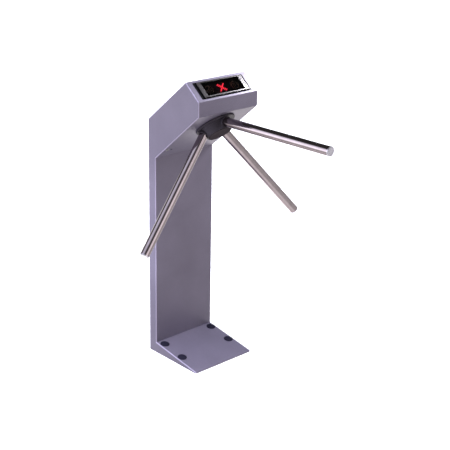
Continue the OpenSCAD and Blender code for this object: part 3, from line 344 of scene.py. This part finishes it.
MATERIALS = {
    "painted_sheet": powder_coat(),
    "zinc_plate": surface("zinc_plate", (0.42, 0.42, 0.40), (0.62, 0.62, 0.58), metallic=1.0,
                          rough=(0.28, 0.42), grain=700.0, blotch=60.0),
    "dark_steel": surface("phosphated_steel", (0.030, 0.030, 0.034), (0.075, 0.075, 0.080),
                          metallic=0.8, rough=(0.42, 0.62), grain=900.0, blotch=30.0),
    "bare_steel": surface("milled_steel", (0.30, 0.30, 0.31), (0.48, 0.48, 0.49), metallic=1.0,
                          rough=(0.26, 0.44), grain=300.0, stretch=(6, 0.4, 0.4), blotch=20.0),
    "ground_steel": surface("ground_steel", (0.55, 0.55, 0.56), (0.70, 0.70, 0.71), metallic=1.0,
                            rough=(0.10, 0.22), grain=600.0, blotch=40.0),
    "polished_steel": surface("polished_stainless", (0.31, 0.268, 0.284), (0.42, 0.365, 0.386),
                              metallic=1.0, rough=(0.07, 0.15), grain=900.0, blotch=25.0,
                              depth=0.00002, strength=0.12),
    "black_plastic": surface("black_moulding", (0.0085, 0.0078, 0.0165), (0.019, 0.017, 0.031),
                             metallic=0.0, rough=(0.34, 0.50), grain=1800.0, blotch=18.0,
                             gloss=0.09),
    "black_screws": surface("black_oxide", (0.012, 0.012, 0.014), (0.030, 0.030, 0.033),
                            metallic=0.7, rough=(0.35, 0.50), grain=900.0),
    "black_rubber": surface("black_rubber", (0.010, 0.010, 0.010), (0.022, 0.022, 0.022),
                            metallic=0.0, rough=(0.62, 0.80), grain=1200.0),
    "brass": surface("turned_brass", (0.50, 0.34, 0.10), (0.72, 0.52, 0.20), metallic=1.0,
                     rough=(0.20, 0.34), grain=600.0),
    "green_board": circuit_board(),
    "green_plastic": surface("green_moulding", (0.020, 0.150, 0.055), (0.035, 0.210, 0.080),
                             metallic=0.0, rough=(0.40, 0.55), grain=1500.0),
    "red_lamp": lit_lamp(),
    "unlit_lamp": surface("unlit_lamp", (0.20, 0.15, 0.11), (0.29, 0.22, 0.16), metallic=0.0,
                          rough=(0.18, 0.30), grain=800.0),
    "smoked_window": smoked_glass(),
}

# Finishes of nodes that don't have their slot's
END_CAP = surface("turned_cap", (0.50, 0.49, 0.56), (0.66, 0.65, 0.73), metallic=1.0,
                  rough=(0.22, 0.34), grain=500.0, blotch=60.0)
TRAY = surface("tray_moulding", (0.004, 0.004, 0.005), (0.009, 0.009, 0.010), metallic=0.0,
               rough=(0.26, 0.36), grain=1500.0)
HUB = surface("hub_moulding", (0.037, 0.032, 0.043), (0.060, 0.052, 0.067), metallic=0.0,
              rough=(0.34, 0.50), grain=1800.0, blotch=18.0, gloss=0.08)
HUB_CAP = surface("matt_moulding", (0.036, 0.030, 0.036), (0.056, 0.047, 0.054), metallic=0.0,
                  rough=(0.40, 0.55), grain=1800.0, blotch=18.0, gloss=0.0)
NODE_MATERIALS = {
    "arm_end_caps": END_CAP,
    "display_bezel": faceplate(),
    "display_tray": TRAY,
    "hub_cap": HUB_CAP,
    "hub_cover": HUB,
    "indicator_board": MATERIALS["black_plastic"],
    "panel_screws": MATERIALS["black_plastic"],
    "release_lock": END_CAP,
}


def dress_frame():
    """Gives every CAD node its own material, or that of its slot."""
    for name, obj in NODES.items():
        if not obj.material_slots:
            obj.data.materials.append(None)
        for slot in obj.material_slots:
            slot.material = NODE_MATERIALS.get(name, MATERIALS[SLOTS[name]])


# Pieces that stand for CAD nodes, with the detail of the real ones

def islands(node):
    """The points of each separate solid of a CAD node."""
    mesh = bmesh.new()
    mesh.from_mesh(NODES[node].data)
    bmesh.ops.remove_doubles(mesh, verts=mesh.verts, dist=WELD)
    left = dict.fromkeys(mesh.verts)
    found = []
    while left:
        stack = [left.popitem()[0]]
        points = []
        while stack:
            vert = stack.pop()
            points.append(vert.co.copy())
            for edge in vert.link_edges:
                other = edge.other_vert(vert)
                if other in left:
                    del left[other]
                    stack.append(other)
        found.append(points)
    mesh.free()
    return found


def middle(points):
    """The middle of the box round some points."""
    return Vector([(min(p[i] for p in points) + max(p[i] for p in points)) / 2 for i in range(3)])


def reach(points, out):
    """How far the points lie along out, lowest and highest."""
    along = [p.dot(out) for p in points]
    return min(along), max(along)


def stand(points, out):
    """The frame that a solid stands in, and its height: the frame's origin is at the foot of
    the solid's points, under their middle, its Z is out and its X is across."""
    low, high = reach(points, out)
    centre = middle(points)
    foot = centre + out * (low - centre.dot(out))
    z = out.normalized()
    y = z.cross(ACROSS).normalized()
    x = y.cross(z)
    turn = Matrix((x, y, z)).transposed().to_4x4()
    return Matrix.Translation(foot) @ turn, high - low


def step_angle(k, count):
    """The angle of step k of count steps round a circle."""
    return 2 * math.pi * k / count


def ring_radius(radius, corners, angle):
    """How far out a ring lies at an angle: a circle, or a polygon if it has corners."""
    if not corners:
        return radius
    half = math.pi / corners
    return radius * math.cos(half) / math.cos(angle % (2 * half) - half)


def skin(mesh, loops):
    """Joins loops of vertices, ends included, into a closed solid."""
    count = len(loops[0])
    for low, high in zip(loops, loops[1:]):
        for k in range(count):
            nxt = (k + 1) % count
            mesh.faces.new((low[k], low[nxt], high[nxt], high[k]))
    mesh.faces.new(tuple(reversed(loops[0])))
    mesh.faces.new(tuple(loops[-1]))


def lathe(mesh, rings, place, count=24):
    """Adds a closed solid of rings of (radius, height, corners), ends included."""
    loops = []
    for radius, height, corners in rings:
        loop = []
        for k in range(count):
            angle = step_angle(k, count)
            r = ring_radius(radius, corners, angle)
            point = Vector((r * math.cos(angle), r * math.sin(angle), height))
            loop.append(mesh.verts.new(place @ point))
        loops.append(loop)
    skin(mesh, loops)


def tube_along(mesh, path, radius, count=10):
    """Adds a closed round tube along a path of points."""
    loops = []
    side = Vector((0, 0, 1))
    for k, point in enumerate(path):
        ahead = (path[min(k + 1, len(path) - 1)] - path[max(k - 1, 0)]).normalized()
        side = (side - ahead * side.dot(ahead)).normalized()
        other = ahead.cross(side)
        loop = []
        for j in range(count):
            angle = step_angle(j, count)
            outward = side * math.cos(angle) + other * math.sin(angle)
            loop.append(mesh.verts.new(point + outward * radius))
        loops.append(loop)
    skin(mesh, loops)


def add_object(name, data):
    """Links an object of a mesh, a light or a camera into the scene."""
    obj = bpy.data.objects.new(name, data)
    bpy.context.collection.objects.link(obj)
    return obj


def mesh_object(name, mesh, material):
    """Turns a bmesh into an object with one material."""
    data = bpy.data.meshes.new(name)
    mesh.to_mesh(data)
    mesh.free()
    data.materials.append(material)
    return add_object(name, data)


def piece(name, mesh, material, body, slot, *nodes):
    """Turns a bmesh into a piece that rides on a body and replaces the named CAD nodes."""
    bmesh.ops.recalc_face_normals(mesh, faces=mesh.faces)
    obj = mesh_object(name, mesh, material)
    for face in obj.data.polygons:
        face.use_smooth = True
    obj.data.set_sharp_from_angle(angle=math.radians(SHARP))
    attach(obj, body)
    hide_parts(*nodes)


def button_screws():
    """Button-head screws with hexagon sockets, for those of the rear cover and the lid."""
    shank_r, tip_h = 0.0025, 0.0008
    tip_r = shank_r * 0.7
    head_r, head_h = 0.0045, 0.0022
    # The head's outline: how wide, and how far below its top, in shares of its size
    outline = ((1.0, 1.0), (1.0, 0.75), (0.93, 0.45), (0.78, 0.18), (0.58, 0.0))
    socket_r, socket_h, lead_in, cone_h = 0.0017, 0.0013, 0.0002, 0.0005
    lead_in_r, cone_r = socket_r * 1.08, socket_r * 0.2
    # Screws that reach past here are the rear cover's
    rear = CAD_BOX[1].y - 0.001

    mesh = bmesh.new()
    for points in islands("cover_screws"):
        out = OUT_OF_REAR if reach(points, OUT_OF_REAR)[1] > rear else OUT_OF_LID
        place, top = stand(points, out)
        rings = [(tip_r, 0, 0), (shank_r, tip_h, 0), (shank_r, top - head_h, 0)]
        rings += [(head_r * wide, top - low * head_h, 0) for wide, low in outline]
        rings += [(lead_in_r, top, 6), (socket_r, top - lead_in, 6), (socket_r, top - socket_h, 6),
                  (cone_r, top - socket_h - cone_h, 0)]
        lathe(mesh, rings, place)
    piece("button_screws", mesh, MATERIALS["black_screws"], "housing", SLOTS["cover_screws"],
          "cover_screws")


def led(mesh, place, height):
    """A round lamp with a flange, a barrel and a domed lens."""
    lamp_r, flange_h = 0.0019, 0.0007
    flange_r = lamp_r * 1.12
    # The lens's outline: how wide, and how far below the top, in shares of the radius
    outline = ((1.0, 1.0), (0.92, 0.6), (0.71, 0.29), (0.38, 0.07), (0.1, 0.0))
    rings = [(flange_r, 0, 0), (flange_r, flange_h, 0), (lamp_r, flange_h, 0)]
    rings += [(lamp_r * wide, height - low * lamp_r, 0) for wide, low in outline]
    lathe(mesh, rings, place, count=12)


def lamps(name, node, material, spots):
    """A piece of lamps at spots (x, y) on the lamp board, for the node of a symbol."""
    place, height = stand([p for island in islands(node) for p in island], OUT_OF_DISPLAY)
    mesh = bmesh.new()
    for x, y in spots:
        led(mesh, place @ Matrix.Translation((x, y, 0)), height)
    piece(name, mesh, material, "housing", SLOTS[node], node)


def cross_of_lamps():
    """The lit cross: two diagonal rows of lamps."""
    half, steps = 0.0122, 3
    spots = {(0, 0)}
    for k in range(1, steps + 1):
        d = half * k / steps
        spots |= {(d, d), (-d, d), (d, -d), (-d, -d)}
    lamps("cross_of_lamps", "stop_symbol", MATERIALS["red_lamp"], sorted(spots))


def arrows_of_lamps():
    """A ring of unlit lamps round an arrowhead of lamps, on each side of the cross."""
    pitch, ring_r, ring_count = 0.058, 0.0147, 16
    arrow = [(0.006, 0), (0.001, 0.0035), (0.001, -0.0035), (-0.004, 0.0065), (-0.004, -0.0065),
             (-0.004, 0)]
    spots = []
    for side in (-1, 1):
        for k in range(ring_count):
            angle = step_angle(k, ring_count)
            spots.append((side * pitch + ring_r * math.cos(angle), ring_r * math.sin(angle)))
        spots += [(side * (pitch + x), y) for x, y in arrow]
    lamps("arrows_of_lamps", "pass_symbols", MATERIALS["unlit_lamp"], spots)


def torsion_spring():
    """The detent's spring as a close coil of wire, for its plain sleeve."""
    points = islands("detent_spring")[0]
    place, length = stand(points, OUT_OF_PANEL)
    outer = max((place.inverted() @ p).x for p in points)
    wire_r, wires_a_turn, steps = 0.00125, 2.15, 28
    turns = max(2, int(length / (wires_a_turn * wire_r)))
    coil_r, rise, last = outer - wire_r, length - 2 * wire_r, turns * steps
    path = []
    for k in range(last + 1):
        angle = step_angle(k, steps)
        path.append(place @ Vector((coil_r * math.cos(angle), coil_r * math.sin(angle),
                                    wire_r + rise * k / last)))
    mesh = bmesh.new()
    tube_along(mesh, path, wire_r)
    piece("torsion_spring", mesh, MATERIALS["ground_steel"], "housing", SLOTS["detent_spring"],
          "detent_spring")


# Stage

def floor():
    """A pale floor that lights and mirrors nothing."""
    corners = [(-FLOOR_HALF, -FLOOR_HALF, 0), (FLOOR_HALF, -FLOOR_HALF, 0),
               (FLOOR_HALF, FLOOR_HALF, 0), (-FLOOR_HALF, FLOOR_HALF, 0)]
    material, tree, shader = new_material("pale_floor")
    dark, light = (0.82, 0.82, 0.82), (0.85, 0.85, 0.85)
    patches = noise(tree, coordinates(tree), 3.0)
    tree.links.new(ramp(tree, patches, (0.3, dark), (0.7, light)), shader.inputs["Base Color"])
    shader.inputs["Roughness"].default_value = 0.85
    shader.inputs["Emission Color"].default_value = (1, 1, 1, 1)
    shader.inputs["Emission Strength"].default_value = 0.35
    mesh = bmesh.new()
    mesh.faces.new([mesh.verts.new(corner) for corner in corners])
    obj = mesh_object("floor", mesh, material)
    obj.visible_diffuse = False
    obj.visible_glossy = False


def backdrop():
    """A white studio tent far round the object, which lights and shades nothing."""
    material, tree, shader = new_material("white_tent")
    dark, light = (0.98, 0.98, 0.98), (1.0, 1.0, 1.0)
    patches = noise(tree, coordinates(tree), 0.2)
    tree.links.new(ramp(tree, patches, (0.3, dark), (0.7, light)), shader.inputs["Emission Color"])
    shader.inputs["Base Color"].default_value = (0, 0, 0, 1)
    shader.inputs["Emission Strength"].default_value = 1.05
    mesh = bmesh.new()
    lathe(mesh, TENT, Matrix(), count=48)
    obj = mesh_object("backdrop", mesh, material)
    obj.visible_diffuse = False
    obj.visible_glossy = False
    obj.visible_transmission = False
    obj.visible_shadow = False


def lit(light, place, turn):
    """Places a light, with the rotation turn."""
    obj = add_object(light.name, light)
    obj.location = place
    obj.rotation_euler = turn.to_euler()
    return obj


def softbox(name, place, target, size, power, colour=(1, 1, 1), mirrored=True):
    """A soft light at place that points at target, and that surfaces mirror or don't."""
    light = bpy.data.lights.new(name, "AREA")
    light.shape = "RECTANGLE"
    light.size, light.size_y = size
    light.energy = power
    light.color = colour
    obj = lit(light, place, (Vector(target) - Vector(place)).to_track_quat("-Z", "Y"))
    obj.visible_camera = False
    obj.visible_glossy = mirrored
    return obj


def light_only(light, *nodes):
    """Keeps a light to the named CAD nodes."""
    lit_nodes = bpy.data.collections.new(light.name + "_on")
    for name in nodes:
        lit_nodes.objects.link(NODES[name])
    light.light_linking.receiver_collection = lit_nodes


def sun(overhead, strength, angle, colour):
    """A soft sun in the direction overhead, angle degrees wide, that surfaces don't mirror."""
    light = bpy.data.lights.new("sun", "SUN")
    light.energy = strength
    light.angle = math.radians(angle)
    light.color = colour
    obj = lit(light, (0, 0, 0), Vector(overhead).to_track_quat("Z", "Y"))
    obj.visible_glossy = False
    obj.visible_transmission = False


def heading(around, up):
    """The direction at an angle around from the front, and at an angle up, in degrees."""
    a, e = math.radians(around), math.radians(up)
    return math.sin(a) * math.cos(e), -math.cos(a) * math.cos(e), math.sin(e)


def toward(tree, source, direction, inner, outer):
    """1 within the inner angle of a direction, and 0 beyond the outer."""
    return mapped(tree, dotted(tree, source, direction), math.cos(math.radians(outer)),
                  math.cos(math.radians(inner)))


def blend_in(tree, total, colour, mask):
    """Adds a colour to total where the mask lets it."""
    node = tree.nodes.new("ShaderNodeVectorMath")
    node.operation = "MULTIPLY_ADD"
    node.inputs[0].default_value = colour
    tree.links.new(mask, node.inputs[1])
    tree.links.new(total, node.inputs[2])
    return node.outputs[0]


def world():
    """A studio that is light below and dark above, with a pale wall at the back left, soft
    lights in it, a shaded floor at the left and a lighter one at the back right."""
    surroundings = bpy.data.worlds.new("studio")
    surroundings.use_nodes = True
    tree = surroundings.node_tree
    place = tree.nodes.new("ShaderNodeTexCoord").outputs["Generated"]
    parts = tree.nodes.new("ShaderNodeSeparateXYZ")
    tree.links.new(place, parts.inputs["Vector"])
    height = parts.outputs["Z"]
    level = tree.nodes.new("ShaderNodeMapRange")
    level.inputs["From Min"].default_value = -1.0
    tree.links.new(height, level.inputs["Value"])
    levels = ramp(tree, level.outputs["Result"],
                  *(((z + 1) / 2, [value * tint for tint in STUDIO_TINT])
                    for z, value in STUDIO_LEVELS))
    brightened = scaled(tree, levels)
    brightened.inputs["Scale"].default_value = STUDIO_STRENGTH
    total = brightened.outputs[0]
    for colour, (around, up), (inner, outer), fades in STUDIO_PATCHES:
        masks = [toward(tree, place, heading(around, up), inner, outer)]
        masks += [mapped(tree, height, low, high) for low, high in fades]
        total = blend_in(tree, total, colour, joined(tree, "MULTIPLY", *masks))
    tree.links.new(total, tree.nodes["Background"].inputs["Color"])
    bpy.context.scene.world = surroundings


def camera():
    """A camera that sees the object as the photograph does."""
    lens = bpy.data.cameras.new("camera")
    lens.sensor_width = SENSOR_WIDTH
    lens.lens = FOCAL_PIXELS / FRAME_PIXELS * lens.sensor_width
    lens.shift_x = (FRAME_PIXELS / 2 - CENTRE_X) / FRAME_PIXELS
    lens.shift_y = (CENTRE_Y - FRAME_PIXELS / 2) / FRAME_PIXELS
    obj = add_object("camera", lens)
    obj.location = CAMERA_PLACE
    obj.rotation_euler = (math.radians(90 - CAMERA_FALL), 0, math.radians(CAMERA_TURN))
    bpy.context.scene.camera = obj


bpy.context.scene.view_settings.view_transform = "Standard"
camera()
floor()
backdrop()
world()
sun(overhead=(-0.02, -0.03, 1.0), strength=6.3, angle=40, colour=(0.86, 0.88, 1.0))
softbox("side", place=(-0.62, 0.10, 0.42), target=(0, 0.10, 0.42), size=(0.25, 0.25), power=4.5,
        colour=(0.84, 0.86, 1.0), mirrored=False)
display_light = softbox("display", place=(0.62, -0.19, 1.31), target=(0.10, -0.10, 1.0),
                        size=(0.20, 0.20), power=10)
light_only(display_light, "body_shell", "display_tray", "display_bezel", "indicator_board")

dress_frame()
button_screws()
cross_of_lamps()
arrows_of_lamps()
torsion_spring()
